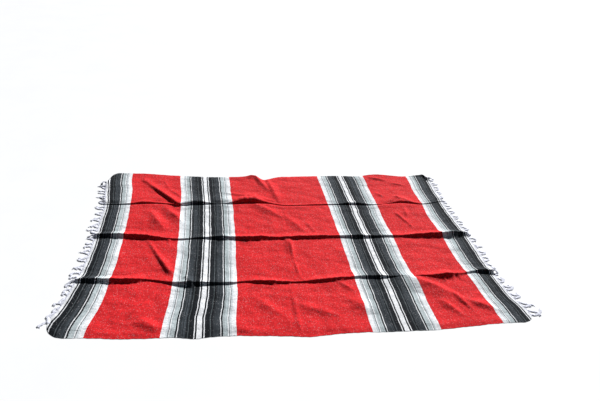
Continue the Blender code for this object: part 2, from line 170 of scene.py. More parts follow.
LOOSE_FOLDS = table(
    Fold,
    (-0.745, 0.600, -0.543, 0.318, 6, 15, 28, 26, 75), (-0.590, 0.480, -0.520, 0.400, 5, 9, 6, 42, 50),
    (-0.125, 0.665, -0.055, 0.470, 16, 12, 4, 36, 40), (-0.055, 0.610, -0.012, 0.350, 6, 10, 8, 40, 60),
    (-0.300, 0.452, -0.045, 0.352, 6, 14, 8, 48, 70), (-0.130, 0.315, -0.020, 0.200, 9, 11, 5, 62, 60),
    (0.010, 0.200, 0.090, 0.045, 3, 8, 5, 60, 60), (-0.690, 0.280, -0.600, 0.095, 4, 12, 5, 60, 60),
    (-0.600, 0.290, -0.515, 0.150, 7, 15, 6, 62, 60), (-0.600, -0.140, -0.545, -0.260, 1, 5, 6, 34, 55),
    (-0.010, -0.500, 0.140, -0.568, 6, 11, 6, 85, 75), (-0.190, -0.440, -0.080, -0.560, 4, 9, 4, 80, 80),
    (0.190, -0.450, 0.290, -0.560, 3, 8, 3, 70, 80), (0.545, 0.465, 0.605, 0.385, 4, 9, 5, 40, 55),
    (0.500, -0.335, 0.672, -0.462, 11, 20, 11, 150, 70), (0.672, -0.462, 0.735, -0.620, 6, 5, 2, 100, 70),
    (0.570, -0.330, 0.760, -0.325, 4, 11, 6, 80, 40), (0.688, -0.484, 0.825, -0.570, 6, 13, 5, 52, 70),
    (0.590, -0.480, 0.655, -0.590, 4, 13, 5, 70, 60), (-0.675, -0.550, -0.540, -0.625, 5, 10, 5, 95, 90),
)
CREASES = table(
    Fold,
    (-0.650, 0.640, -0.600, 0.500, 3, 7, 4, 18, 30), (-0.100, 0.170, -0.030, 0.060, 2, 5, 2, 20, 35),
    (0.110, 0.130, 0.140, 0.040, 2, 5, 3, 18, 30), (-0.656, -0.019, -0.547, -0.251, 7, 10, 9, 15, 28),
    (-0.565, -0.010, -0.558, -0.082, 8, 6, 0, 9, 14), (-0.471, -0.305, -0.440, -0.365, 12, 12, 5, 14, 24),
    (-0.589, -0.392, -0.672, -0.530, 6, 11, 6, 14, 24), (-0.630, -0.550, -0.570, -0.600, 4, 8, 4, 30, 45),
    (-0.010, -0.010, -0.008, -0.330, 5, 5, 5, 24, 30), (0.004, -0.030, 0.006, -0.170, 4, 10, 5, 13, 24),
    (0.006, -0.190, 0.018, -0.320, 6, 12, 7, 13, 24), (-0.035, -0.350, -0.022, -0.655, 5, 5, 6, 22, 26),
    (0.177, -0.347, 0.238, -0.419, 4, 8, 3, 36, 36), (-0.130, -0.350, -0.040, -0.385, 2, 5, 2, 20, 30),
    (0.060, -0.620, 0.090, -0.650, 3, 6, 3, 20, 25), (0.570, 0.635, 0.660, 0.600, 5, 9, 5, 20, 30),
    (0.672, 0.575, 0.757, 0.540, 4, 9, 4, 18, 30), (0.600, 0.330, 0.660, 0.385, 4, 10, 12, 26, 34),
    (0.660, 0.385, 0.745, 0.330, 12, 10, 4, 26, 34), (0.610, 0.219, 0.653, 0.101, 5, 8, 7, 13, 24),
    (0.653, 0.101, 0.667, 0.044, 5, 5, 2, 14, 20), (0.670, 0.290, 0.665, 0.180, 3, 6, 2, 15, 24),
    (0.670, -0.455, 0.706, -0.550, 6, 12, 4, 17, 36), (0.668, -0.345, 0.664, -0.385, 6, 6, 2, 9, 14),
    (0.710, -0.345, 0.708, -0.380, 5, 6, 2, 9, 14), (0.744, -0.340, 0.744, -0.378, 6, 6, 2, 9, 14),
)
FAR_EDGE = table(
    Edge,
    (-0.925, 16, 14), (-0.850, 26, 8), (-0.780, 21, 8), (-0.680, 17, 7), (-0.550, 4, 0), (-0.430, -9, 0),
    (-0.270, -14, 0), (-0.160, -8, 7), (-0.124, -8, 16), (-0.090, -22, 6), (-0.057, -48, 0),
    (-0.025, -34, 0), (0.014, -15, 0), (0.100, -5, 0), (0.370, 3, 2), (0.530, 2, 3), (0.570, 9, 8),
    (0.705, 9, 8), (0.750, 5, 4), (0.860, 10, 12), (0.925, 14, 21),
)
NEAR_EDGE = table(
    Edge,
    (-0.925, -26), (-0.830, -26), (-0.620, -9), (-0.540, -9), (-0.475, -8), (-0.420, 3), (-0.350, -3),
    (-0.060, 10), (0.021, 17), (0.130, 7), (0.376, 8), (0.540, 6), (0.640, -3), (0.800, -15), (0.925, -14),
)
WAVES = table(
    Wave,
    (0.62, 0.5, 0.4, 1.9), (0.43, 2.0, 2.1, 1.6), (0.29, 1.2, 4.0, 1.2), (0.24, 2.7, 1.0, 0.9),
)


def through(stations: Sequence[float], values: Sequence, at: Array) -> Array:
    """A smooth curve through values at stations, level past both ends.

    Args:
        stations: Rising places.
        values: One number for each station, or one row of numbers with a number for each place.
        at: The places where the curve is read.

    Returns:
        The curve's value at each place.
    """
    stations = np.asarray(stations, float)
    values = np.asarray(values, float)
    if values.ndim == 1:
        values = np.repeat(values[:, None], at.size, axis=1)
    slopes = np.gradient(values, stations, axis=0)
    at = np.clip(at, stations[0], stations[-1])
    low = np.clip(np.searchsorted(stations, at) - 1, 0, len(stations) - 2)
    place = np.arange(at.size)
    span = stations[low + 1] - stations[low]
    u = (at - stations[low]) / span
    return (
        (1 + 2 * u) * (1 - u) ** 2 * values[low, place]
        + u * (1 - u) ** 2 * span * slopes[low, place]
        + u * u * (3 - 2 * u) * values[low + 1, place]
        + u * u * (u - 1) * span * slopes[low + 1, place]
    )


def column(rows: Sequence[NamedTuple], name: str, at: Array) -> Array:
    """Reads one named column of a table whose first column is a place along or across the cloth.

    Args:
        rows: The table.
        name: The column's name.
        at: Places where it is read.

    Returns:
        The column's value at each place.
    """
    return through([row[0] for row in rows], [getattr(row, name) for row in rows], at)


def fade(distance: Array, reach: float) -> Array:
    """Returns 1 at no distance and 0 from the reach on, with no kink at either."""
    u = np.clip(1 - np.abs(distance) / reach, 0, 1)
    return u * u * (3 - 2 * u)


def swell(distance: Array, reach: Array | float) -> Array:
    """Returns 0 up to no distance, 1 at the reach, and less and less from there on."""
    u = np.clip(distance, 0, None) / reach
    return u * np.exp(1 - u)


@dataclass(frozen=True)
class ClothShape:
    """The lie of the blanket's cloth: where each place of the flat cloth is on the ground, and how high."""

    length: float = 1.85
    width: float = 1.32
    thickness: float = 3.0 * MM
    near_left: Corner = Corner(0.080, 0.080, 0.004)
    near_right: Corner = Corner(0.060, 0.036, 0.0)
    far_left: Corner = Corner(0.050, 0.112, 0.015)
    far_right: Corner = Corner(0.020, 0.045, 0.013)
    ridge_far_side: float = 75.0
    ridge_near_share: float = 1.7
    ridge_near_least: float = 9.0
    valley_far_side: float = 30.0
    valley_near_side: float = 14.0
    valley_press: float = 9.0
    lip_run_share: float = 0.9
    lip_run_least: float = 2.0
    crest_rounding: float = 0.04
    stray_reach: float = 0.14
    edge_reach: float = 0.11
    lift_reach: float = 0.07
    hem_rise: float = 0.8
    hem_run: float = 0.022
    rim_share: float = 0.33
    rim_reach: float = 0.030
    near_rest: float = 0.045
    edge_stray: float = 12.0
    edge_shift: float = 0.3
    ridge_stray: float = 3.0
    ridge_stray_rate: float = 1.7
    uneven_lengths: tuple[float, ...] = (0.027, 0.061, 0.097, 0.171)
    uneven_share: float = 0.04
    uneven_phase: float = 40.0
    settle: float = 1.5
    ground_bias: float = 2.6
    union_power: float = 3.0
    crease_ease: float = 12.0
    slope_step: float = 1.0 * MM
    thickest_slope: float = 1.3

    @property
    def half_length(self) -> float:
        """Half the flat cloth's length."""
        return self.length / 2

    @property
    def half_width(self) -> float:
        """Half the flat cloth's width."""
        return self.width / 2

    @property
    def fold_lines(self) -> tuple[float, float, float]:
        """The near ridge, the middle ridge and the far valley, as places across the cloth."""
        return -self.width / 4, 0.0, self.width / 4

    def slope_off(self, distance: Array, reach: Array | float) -> Array:
        """The side of a fold: steep at its crest, level where it meets the ground.

        Args:
            distance: How far each place is from the crest.
            reach: How wide that side of the fold is.

        Returns:
            The height at each place as a share of the crest's.
        """
        u = np.abs(distance) / reach
        u = np.sqrt(u * u + self.crest_rounding**2) - self.crest_rounding
        return np.clip(1 - u, 0, 1) ** 2

    def corner_cut(self, inside: Array, corner: Corner) -> Array:
        """How much a rounded corner takes off across the cloth, that far inside its end."""
        u = np.clip(1 - (inside - corner.under) / corner.along, 0, 1)
        return corner.across * (1 - np.sqrt(1 - u * u))

    def limits(self, along: Array) -> tuple[Array, Array]:
        """The near and the far long edge of the flat cloth, with their rounded corners.

        Args:
            along: Places along the cloth.

        Returns:
            The lowest and the highest place across the cloth at each of them.
        """
        from_left = self.half_length + along
        from_right = self.half_length - along
        near = self.corner_cut(from_left, self.near_left) + self.corner_cut(from_right, self.near_right)
        far = self.corner_cut(from_left, self.far_left) + self.corner_cut(from_right, self.far_right)
        return near - self.half_width, self.half_width - far

    def plan(self, along: Array, across: Array) -> tuple[Array, Array]:
        """Where each place of the flat cloth lies on the ground, seen from above.

        Args:
            along: Places along the flat cloth.
            across: Places across it.

        Returns:
            The X and the Y of each place.
        """
        drawn = [column(PULLS, name, across) for name in Pull._fields[1:]]
        near, far = self.limits(along)
        x = along + through(PULL_STATIONS, drawn, along) * MM
        y = across.copy()
        for rows, line in zip((NEAR_RIDGE, MIDDLE_RIDGE, FAR_VALLEY), self.fold_lines):
            y += column(rows, "stray", along) * fade(across - line, self.stray_reach) * MM
        stray = self.edge_stray * self.unevenness(along + self.edge_shift)
        y += (column(FAR_EDGE, "out", along) + stray) * fade(far - across, self.edge_reach) * MM
        y -= (column(NEAR_EDGE, "out", along) - stray) * fade(across - near, self.edge_reach) * MM
        return x, y

    def unevenness(self, along: Array) -> Array:
        """How much a pressed line differs from place to place along it, about 0 on average."""
        turns = ((2 * math.pi * along / each, self.uneven_phase * each) for each in self.uneven_lengths)
        return sum(self.uneven_share * np.sin(turn + phase) for turn, phase in turns)

    def ridge(self, rows: Sequence[Line], line: float, along: Array, across: Array) -> Array:
        """The height of one long ridge.

        Args:
            rows: The ridge.
            line: The fold line that it follows.
            along: Places along the flat cloth.
            across: Places across it.

        Returns:
            The height at each place, in mm.
        """
        stray = self.ridge_stray * self.unevenness(self.ridge_stray_rate * along - line)
        off = (across - line) / MM + stray
        height = column(rows, "height", along) * (1 + self.unevenness(along + line))
        near_side = np.maximum(height * self.ridge_near_share, self.ridge_near_least)
        return height * self.slope_off(off, np.where(off > 0, self.ridge_far_side, near_side))

    def valley_swell(self, along: Array, across: Array) -> Array:
        """The swell on both sides of the far fold line, which is nothing on the line itself.

        Args:
            along: Places along the flat cloth.
            across: Places across it.

        Returns:
            The height at each place, in mm.
        """
        off = (across - self.fold_lines[2]) / MM
        far = column(FAR_VALLEY, "far_swell", along) * swell(off, self.valley_far_side)
        return far + column(FAR_VALLEY, "near_swell", along) * swell(-off, self.valley_near_side)

    def valley_lip(self, along: Array, across: Array) -> Array:
        """The short, steep lip on the far side of the far fold line.

        Args:
            along: Places along the flat cloth.
            across: Places across it.

        Returns:
            The height at each place, in mm.
        """
        lip = column(FAR_VALLEY, "lip", along) * (1 + self.unevenness(along))
        run = lip * self.lip_run_share + self.lip_run_least
        return lip * swell((across - self.fold_lines[2]) / MM, run)

    def fold_height(self, fold: Fold, x: Array, y: Array) -> Array:
        """The height of one loose fold or crease, in mm.

        Args:
            fold: The fold.
            x: The X of places on the ground.
            y: The Y of places on the ground.

        Returns:
            The fold's height at each place.
        """
        run_x = fold.end_x - fold.start_x
        run_y = fold.end_y - fold.start_y
        reach = math.hypot(run_x, run_y)
        share = np.clip(((x - fold.start_x) * run_x + (y - fold.start_y) * run_y) / reach**2, 0, 1)
        away = np.hypot(x - fold.start_x - share * run_x, y - fold.start_y - share * run_y) / MM
        on_sun_side = run_x * (y - fold.start_y) - run_y * (x - fold.start_x) > 0
        side = np.where(on_sun_side, fold.sun_side, fold.shade_side)
        crest = (
            fold.start * (1 - share) * (1 - 2 * share)
            + fold.middle * 4 * share * (1 - share)
            + fold.end * share * (2 * share - 1)
        )
        return np.clip(crest, 0, None) * self.slope_off(away, side)

    def broad_waves(self, x: Array, y: Array) -> Array:
        """The broad, shallow swells all over the cloth.

        Args:
            x: The X of places on the ground.
            y: The Y of places on the ground.

        Returns:
            The height at each place, in mm.
        """
        total = np.full_like(x, -self.ground_bias)
        for wave in WAVES:
            run = x * math.cos(wave.heading) + y * math.sin(wave.heading)
            total += wave.height * np.sin(2 * math.pi * run / wave.length + wave.phase)
        return total

    def settled(self, height: Array) -> Array:
        """The height with the ground under it: nothing is below 0, and it leaves the ground gently."""
        rising = (height + self.settle) ** 2 / (4 * self.settle)
        return np.where(height > self.settle, height, np.where(height > -self.settle, rising, 0.0))

    def underside(self, along: Array, across: Array) -> Array:
        """The height of the cloth's underside over the ground.

        Args:
            along: Places along the flat cloth.
            across: Places across it.

        Returns:
            The height at each place, in metres.
        """
        x, y = self.plan(along, across)
        near, far = self.limits(along)
        near_line, middle_line, far_line = self.fold_lines
        heights = [
            self.ridge(MIDDLE_RIDGE, middle_line, along, across),
            self.ridge(NEAR_RIDGE, near_line, along, across),
            self.valley_swell(along, across),
            column(FAR_EDGE, "lift", along) * self.slope_off(far - across, self.lift_reach),
            self.hem_rise * swell(across - near, self.hem_run),
        ]
        heights += [self.fold_height(fold, x, y) for fold in LOOSE_FOLDS]
        powers = sum(np.clip(height, 0, None) ** self.union_power for height in heights)
        off_valley = np.abs(across - far_line) / MM
        pressed = off_valley / (off_valley + self.valley_press)
        folded = powers ** (1 / self.union_power)
        creased = sum(self.fold_height(crease, x, y) for crease in CREASES)
        joined = folded + creased / (1 + folded / self.crease_ease) + self.broad_waves(x, y)
        resting = 1 - fade(across - near, self.near_rest)
        lying = self.settled(joined * pressed) * resting
        return np.cbrt(lying**3 + self.valley_lip(along, across) ** 3) * MM

    def both_sides(self, along: Array, across: Array) -> tuple[Array, Array]:
        """The two sides of the cloth, which is as thick on a slope as where it lies level.

        Args:
            along: Places along the flat cloth.
            across: Places across it.

        Returns:
            The points of the underside and the points of the upper side.
        """
        low = self.underside(along, across)
        step = self.slope_step
        rise_along = self.underside(along + step, across) - self.underside(along - step, across)
        rise_across = self.underside(along, across + step) - self.underside(along, across - step)
        steepness = np.sqrt(1 + (rise_along**2 + rise_across**2) / (2 * step) ** 2)
        near, far = self.limits(along)
        from_rim = np.minimum(self.half_length - np.abs(along), np.minimum(across - near, far - across))
        share = 1 - (1 - self.rim_share) * fade(from_rim, self.rim_reach)
        high = low + self.thickness * share * np.minimum(steepness, self.thickest_slope)
        x, y = self.plan(along, across)
        return np.stack([x, y, low], -1), np.stack([x, y, high], -1)


def graded_lines(
    low: float, high: float, pitch: float, places: Sequence[float], close_pitch: float, reach: float
) -> Array:
    """Spreads mesh lines evenly, but closer together near some places.

    Args:
        low: The first line.
        high: The last line.
        pitch: The usual distance between lines.
        places: Where the lines are closer together.
        close_pitch: The distance between lines there.
        reach: How far from a place the lines stay close.

    Returns:
        The lines' places, an even number of steps from first to last.
    """
    at = np.linspace(low, high, GRADING_SAMPLES)
    closeness = np.clip(sum(np.exp(-(((at - place) / reach) ** 2)) for place in places), 0, 1)
    density = 1 / pitch + (1 / close_pitch - 1 / pitch) * closeness
    passed = np.concatenate([[0.0], np.cumsum((density[1:] + density[:-1]) / 2 * np.diff(at))])
    steps = 2 * math.ceil(passed[-1] / 2)
    return np.interp(np.linspace(0, passed[-1], steps + 1), passed, at)


class Wiring:
    """Adds and joins the nodes of one material or node group."""

    def __init__(self, tree: NodeTree) -> None:
        """Keeps the node tree that the nodes go into."""
        self.tree = tree

    def feed(self, sockets: Sockets, values: dict[str | int, Feed]) -> None:
        """Joins some of a node's sockets to others, or sets their own values.

        Args:
            sockets: The node's inputs.
            values: The other socket, or the value, for each input by its name or number.
        """
        for name, value in values.items():
            if isinstance(value, Socket):
                self.tree.links.new(value, sockets[name])
            else:
                sockets[name].default_value = value

    def node(self, kind: str, inputs: dict | None = None, **settings: object) -> Node:
        """Adds one node.

        Args:
            kind: Blender's name for the node's type.
            inputs: What feeds its inputs.
            **settings: The node's own settings.

        Returns:
            The new node.
        """
        made = self.tree.nodes.new(kind)
        for name, value in settings.items():
            setattr(made, name, value)
        self.feed(made.inputs, inputs or {})
        return made

    def math(self, operation: str, *values: Feed, clamp: bool = False) -> Socket:
        """Adds a Math node for those values, and returns its result."""
        inputs = dict(enumerate(values))
        return self.node("ShaderNodeMath", inputs, operation=operation, use_clamp=clamp).outputs[0]

    def total(self, start: Feed, *parts: tuple[Socket, Feed]) -> Socket:
        """Adds parts to a first value, each times its factor.

        Args:
            start: The first value.
            *parts: The parts, each with its factor.

        Returns:
            The sum.
        """
        for value, factor in parts:
            start = self.math("MULTIPLY_ADD", value, factor, start)
        return start

    def mix(
        self, share: Feed, first: Socket | Colour, second: Socket | Colour, blend: str = "MIX"
    ) -> Socket:
        """Mixes two colours.

        Args:
            share: How much of the second colour there is.
            first: The first colour.
            second: The second colour.
            blend: Blender's name for the way they are mixed.

        Returns:
            The mixed colour.
        """
        first, second = ((*each, 1.0) if isinstance(each, tuple) else each for each in (first, second))
        inputs = {0: share, 6: first, 7: second}
        return self.node("ShaderNodeMix", inputs, data_type="RGBA", blend_type=blend).outputs[2]

    def stretched(self, place: Socket, along: Feed, across: Feed) -> Socket:
        """Divides the two parts of a place by a length along and a length across.

        Args:
            place: The place.
            along: The length along.
            across: The length across.

        Returns:
            The stretched place.
        """
        parts = self.node("ShaderNodeSeparateXYZ", {"Vector": place}).outputs
        inputs = {"X": self.math("DIVIDE", parts["X"], along), "Y": self.math("DIVIDE", parts["Y"], across)}
        return self.node("ShaderNodeCombineXYZ", inputs).outputs["Vector"]

    def noise(self, place: Socket, along: Feed, across: Feed, detail: float, rough: float = 0.5) -> Socket:
        """Adds a noise texture.

        Args:
            place: Where it is read.
            along: The length of its grains along.
            across: Their length across.
            detail: How many finer noises lie over it.
            rough: How strong those are.

        Returns:
            Its value, about 0 on average.
        """
        place = self.stretched(place, along, across)
        inputs = {"Vector": place, "Scale": 1.0, "Detail": detail, "Roughness": rough}
        return self.math("SUBTRACT", self.node("ShaderNodeTexNoise", inputs).outputs["Fac"], 0.5)

    def steps(self, factor: Socket, starts: Sequence[float], colours: Sequence[Colour]) -> Socket:
        """Adds a colour ramp whose colours change in hard steps.

        Args:
            factor: What the ramp is read with.
            starts: Where each colour starts, from 0 to 1.
            colours: The colours.

        Returns:
            The ramp's colour.
        """
        made = self.node("ShaderNodeValToRGB", {"Fac": factor})
        made.color_ramp.interpolation = "CONSTANT"
        elements = made.color_ramp.elements
        elements.remove(elements[-1])
        for k, (start, colour) in enumerate(zip(starts, colours)):
            element = elements.new(start) if k else elements[0]
            element.position = start
            element.color = (*colour, 1.0)
        return made.outputs["Color"]


class Group(Wiring):
    """The wiring of a node group that reads a place, with named numbers as its other inputs and outputs."""

    def __init__(self, name: str, takes: dict[str, float], gives: Sequence[str]) -> None:
        """Starts the group.

        Args:
            name: The group's name.
            takes: Its numbers by name, and what each starts from.
            gives: The names of its outputs.
        """
        super().__init__(bpy.data.node_groups.new(name, "ShaderNodeTree"))
        add = self.tree.interface.new_socket
        add("Place", in_out="INPUT", socket_type="NodeSocketVector")
        for label, value in takes.items():
            add(label, in_out="INPUT", socket_type="NodeSocketFloat").default_value = value
        for label in gives:
            add(label, in_out="OUTPUT", socket_type="NodeSocketFloat")
        self.place, *self.takes = self.node("NodeGroupInput").outputs[: len(takes) + 1]
        self.leaving = self.node("NodeGroupOutput").inputs

    def give(self, **values: Socket) -> NodeTree:
        """Feeds the group's outputs, and returns the finished group."""
        self.feed(self.leaving, values)
        return self.tree


class YarnEffects:
    """The node groups that the woven cloth and the fringe share. Their lengths are in mm."""

    fleck_reach = 0.55
    fleck_edge = 3.2
    streak_gain = 4.0
    fuzz_patch = 9.09
    fuzz_rough = 0.6

    def __init__(self) -> None:
        """Builds the groups once."""
        self.flecks = self.build_flecks()
        self.streaks = self.build_streaks()
        self.fibres = self.build_fibres()
        self.interlacing = self.build_interlacing()

    def build_flecks(self) -> NodeTree:
        """Short stray fibres of another colour that are spun into the yarn.

        Returns:
            The finished group.
        """
        group = Group("stray_fibre_flecks", {"Along": 3.0, "Across": 8.0, "Amount": 0.1}, ["Mask"])
        along, across, amount = group.takes
        inputs = {"Vector": group.stretched(group.place, along, across), "Scale": 1.0}
        cells = group.node("ShaderNodeTexVoronoi", inputs, voronoi_dimensions="2D").outputs
        parts = group.node("ShaderNodeSeparateColor", {"Color": cells["Color"]}).outputs
        chosen = group.math("LESS_THAN", parts[0], amount)
        near = group.math("SUBTRACT", self.fleck_reach, cells["Distance"])
        soft = group.math("MULTIPLY", near, self.fleck_edge, clamp=True)
        return group.give(Mask=group.math("MULTIPLY", chosen, soft))

    def build_streaks(self) -> NodeTree:
        """Long rows of yarn that are lighter or darker than the rows beside them, about 0 on average.

        Returns:
            The finished group.
        """
        group = Group("yarn_streaks", {"Pitch": 4.0, "Run": 400.0}, ["Shade"])
        value = group.noise(group.place, *group.takes, detail=1.0)
        return group.give(Shade=group.math("MULTIPLY", value, self.streak_gain))

    def build_fibres(self) -> NodeTree:
        """The fine fuzz of spun fibres, stretched along the yarn, about 0 on average.

        Returns:
            The finished group.
        """
        group = Group("spun_fibres", {"Thick": 0.3, "Long": 2.5}, ["Height", "Shade"])
        looks = {"detail": 2.0, "rough": self.fuzz_rough}
        fine = group.noise(group.place, *group.takes, **looks)
        broad = group.noise(group.place, self.fuzz_patch, self.fuzz_patch, **looks)
        return group.give(Height=fine, Shade=group.math("ADD", fine, broad))

    @staticmethod
    def build_interlacing() -> NodeTree:
        """The beads of weft that pass over every second warp, row by row, about 0 on average.

        Returns:
            The finished group.
        """
        group = Group("interlaced_rows", {"Weft": 2.0, "Warp": 3.2}, ["Height"])
        place = group.stretched(group.place, *group.takes)
        parts = group.node("ShaderNodeSeparateXYZ", {"Vector": place}).outputs
        over, under = (group.math("SINE", group.math("MULTIPLY", parts[k], math.pi)) for k in range(2))
        return group.give(Height=group.math("MULTIPLY", over, under))


class Grain(NamedTuple):
    """One size of unevenness: its length along and across in mm, how detailed and how strong it is."""

    along: float
    across: float
    detail: float
    strength: float


class Fleck(NamedTuple):
    """Stray fibres of one colour: their length along and across in mm, and how much they cover."""

    colour: Colour
    along: float
    across: float
    cover: float


class Surface(Wiring):
    """The wiring of one material, with the place that its patterns are read at."""

    def __init__(self, name: str, map_name: str = "") -> None:
        """Starts the material.

        Args:
            name: The material's name.
            map_name: The map that gives the place in mm. Without one, it is the object's own, in metres.
        """
        self.material = bpy.data.materials.new(name)
        self.material.use_nodes = True
        super().__init__(self.material.node_tree)
        self.shader = self.tree.nodes["Principled BSDF"].inputs
        if map_name:
            flat = self.node("ShaderNodeUVMap", uv_map=map_name).outputs["UV"]
            inputs = {"Vector": flat, "Scale": 1 / MM}
            self.place = self.node("ShaderNodeVectorMath", inputs, operation="SCALE").outputs["Vector"]
        else:
            self.place = self.node("ShaderNodeTexCoord").outputs["Object"]

    def use(self, group: NodeTree, **inputs: Feed) -> Sockets:
        """Puts a node group into the material, and returns the group's outputs."""
        return self.node("ShaderNodeGroup", {"Place": self.place} | inputs, node_tree=group).outputs

    def uneven(self, start: Feed, grains: Sequence[Grain]) -> Socket:
        """Adds noises of several sizes to a first value."""
        noises = [self.noise(self.place, grain.along, grain.across, grain.detail) for grain in grains]
        return self.total(start, *zip(noises, (grain.strength for grain in grains)))


@dataclass(frozen=True)
class YarnFinish:
    """What the finishes of the cloth and of the fringe have in common."""

    effects: YarnEffects
    roughness: float = 0.93
    roughness_spread: float = 0.10
    gloss: float = 0.10
    sheen: float = 0.01

    def flecked(self, surface: Surface, colour: Socket, fleck: Fleck, amount: Feed) -> Socket:
        """Adds flecks of stray fibre to a colour.

        Args:
            surface: The material's wiring.
            colour: The colour.
            fleck: The flecks.
            amount: How many of them there are, from 0 to 1.

        Returns:
            The colour with its flecks.
        """
        inputs = {"Along": fleck.along, "Across": fleck.across, "Amount": amount}
        mask = surface.use(self.effects.flecks, **inputs)["Mask"]
        return surface.mix(surface.math("MULTIPLY", mask, fleck.cover), colour, fleck.colour)

    def finished(self, surface: Surface, colour: Socket, fuzz: Socket, relief: Socket) -> Material:
        """Joins the patterns to the material's shader.

        Args:
            surface: The material's wiring.
            colour: The colour.
            fuzz: The height of the fibres, which makes the roughness differ.
            relief: The height of the whole surface, in mm.

        Returns:
            The finished material.
        """
        bump = surface.node("ShaderNodeBump", {"Height": relief, "Distance": MM, "Strength": 1.0})
        inputs = {
            "Base Color": colour,
            "Roughness": surface.total(self.roughness, (fuzz, self.roughness_spread)),
            "Normal": bump.outputs["Normal"],
            "Sheen Weight": self.sheen,
            "Specular IOR Level": self.gloss,
        }
        surface.feed(surface.shader, inputs)
        return surface.material


class Band(NamedTuple):
    """One band of weft: where it starts, in mm from the middle of its group, and how its yarn looks.

    Streak is how much its rows differ, and light and dark are how many flecks there are of each.
    """

    start: float
    colour: Colour
    streak: float
    light: float
    dark: float


@dataclass(frozen=True)
class StripedWeave(YarnFinish):
    """The cloth's finish: red panels between groups of white, grey, charcoal and black bands of weft."""

    length: float = 1.85
    red: Colour = (0.67, 0.018, 0.022)
    white: Colour = (0.82, 0.83, 0.85)
    pale: Colour = (0.62, 0.66, 0.685)
    grey: Colour = (0.43, 0.485, 0.50)
    soot: Colour = (0.062, 0.074, 0.080)
    charcoal: Colour = (0.036, 0.043, 0.050)
    black: Colour = (0.008, 0.010, 0.013)
    light_fleck: Fleck = Fleck((0.80, 0.74, 0.76), 2.1, 4.0, 0.28)
    dark_fleck: Fleck = Fleck((0.030, 0.022, 0.026), 2.4, 4.6, 0.50)
    group_half_mm: float = 135.5
    ramp_reach_mm: float = 160.0
    group_middle_mm: float = 393.5
    weft_mm: float = 2.0
    warp_mm: float = 3.2
    strays: tuple[Grain, ...] = (Grain(260.0, 70.0, 1.0, 9.0), Grain(9.0, 5.0, 0.0, 1.6))
    patches: tuple[Grain, ...] = (Grain(34.0, 60.0, 3.0, 0.16),)
    puckers: tuple[Grain, ...] = (
        Grain(4.0, 14.0, 2.0, 0.9),
        Grain(46.0, 38.0, 2.0, 5.0),
        Grain(130.0, 95.0, 1.0, 11.0),
    )
    grain_shade: float = 0.58
    # How much painted shade darkens the dips between the weave's beads and lightens their tops.
    bead_painted_shade: float = 0.08
    bead_height: float = 0.21
    fuzz_height: float = 0.22

    def bands(self) -> tuple[Band, ...]:
        """The bands of one group, from the white in its middle out to the red panel beside it."""
        return (
            Band(0.0, self.white, 0.04, 0.0, 0.02),
            Band(9.0, self.black, 0.05, 0.0, 0.0),
            Band(15.2, self.white, 0.02, 0.0, 0.0),
            Band(19.0, self.black, 0.75, 0.02, 0.0),
            Band(38.0, self.soot, 0.4, 0.04, 0.0),
            Band(41.5, self.black, 0.75, 0.02, 0.0),
            Band(48.0, self.charcoal, 0.9, 0.05, 0.05),
            Band(75.8, self.white, 0.04, 0.0, 0.02),
            Band(79.2, self.black, 0.05, 0.0, 0.0),
            Band(85.6, self.grey, 0.40, 0.05, 0.05),
            Band(103.5, self.white, 0.10, 0.0, 0.02),
            Band(107.5, self.soot, 0.15, 0.0, 0.02),
            Band(109.5, self.pale, 0.36, 0.05, 0.04),
            Band(118.0, self.white, 0.07, 0.0, 0.05),
            Band(self.group_half_mm, self.red, 0.10, 0.08, 0.16),
        )

    def material(self) -> Material:
        """Builds the material, with the beads of the weave, uneven yarn and small puckers as one bump.

        Returns:
            The finished material.
        """
        surface = Surface("striped_weave", WovenCloth.map_name)
        beads = surface.use(self.effects.interlacing, Weft=self.weft_mm, Warp=self.warp_mm)["Height"]
        fuzz = surface.use(self.effects.fibres, Thick=1.1, Long=0.35)["Height"]
        colour = self.coloured(surface, beads)
        relief = surface.total(0.0, (beads, self.bead_height), (fuzz, self.fuzz_height))
        return self.finished(surface, colour, fuzz, surface.uneven(relief, self.puckers))

    def charted(self, surface: Surface) -> tuple[Socket, Socket]:
        """Finds the band that each place is in, and how its yarn behaves.

        Args:
            surface: The material's wiring. Its place is in mm from the cloth's near left corner.

        Returns:
            The band's colour, and its streak, light and dark as one colour.
        """
        half = self.length / 2 / MM
        parts = surface.node("ShaderNodeSeparateXYZ", {"Vector": surface.place}).outputs
        along = surface.uneven(surface.math("SUBTRACT", parts["X"], half), self.strays)
        from_middle = surface.math("ABSOLUTE", along)
        offs = [surface.math("SUBTRACT", from_middle, middle) for middle in (self.group_middle_mm, half)]
        nearest = surface.math("MINIMUM", *(surface.math("ABSOLUTE", off) for off in offs))
        factor = surface.math("DIVIDE", nearest, self.ramp_reach_mm)
        bands = self.bands()
        starts = [band.start / self.ramp_reach_mm for band in bands]
        colour = surface.steps(factor, starts, [band.colour for band in bands])
        habits = [(band.streak, band.light, band.dark) for band in bands]
        return colour, surface.steps(factor, starts, habits)

    def coloured(self, surface: Surface, beads: Socket) -> Socket:
        """Charts the bands, and adds streaks, flecks, fuzz and painted shade between the weave's beads to
        their plain colours.

        Args:
            surface: The material's wiring.
            beads: The height of the weave's beads, which also paints shade into the dips between them.

        Returns:
            The finished colour.
        """
        colour, habit = self.charted(surface)
        streak, light, dark = surface.node("ShaderNodeSeparateColor", {"Color": habit}).outputs[:3]
        streaks = surface.use(self.effects.streaks, Pitch=3.6, Run=520.0)["Shade"]
        grain = surface.use(self.effects.fibres, Thick=3.4, Long=5.0)["Shade"]
        # Painted shade: the colour follows the beads' height, darker in the dips between them.
        parts = ((streaks, streak), (grain, self.grain_shade), (beads, self.bead_painted_shade))
        shade = surface.uneven(surface.total(1.0, *parts), self.patches)
        shades = surface.node("ShaderNodeCombineColor", dict.fromkeys(range(3), shade)).outputs[0]
        colour = surface.mix(1.0, colour, shades, "MULTIPLY")
        colour = self.flecked(surface, colour, self.dark_fleck, dark)
        return self.flecked(surface, colour, self.light_fleck, light)


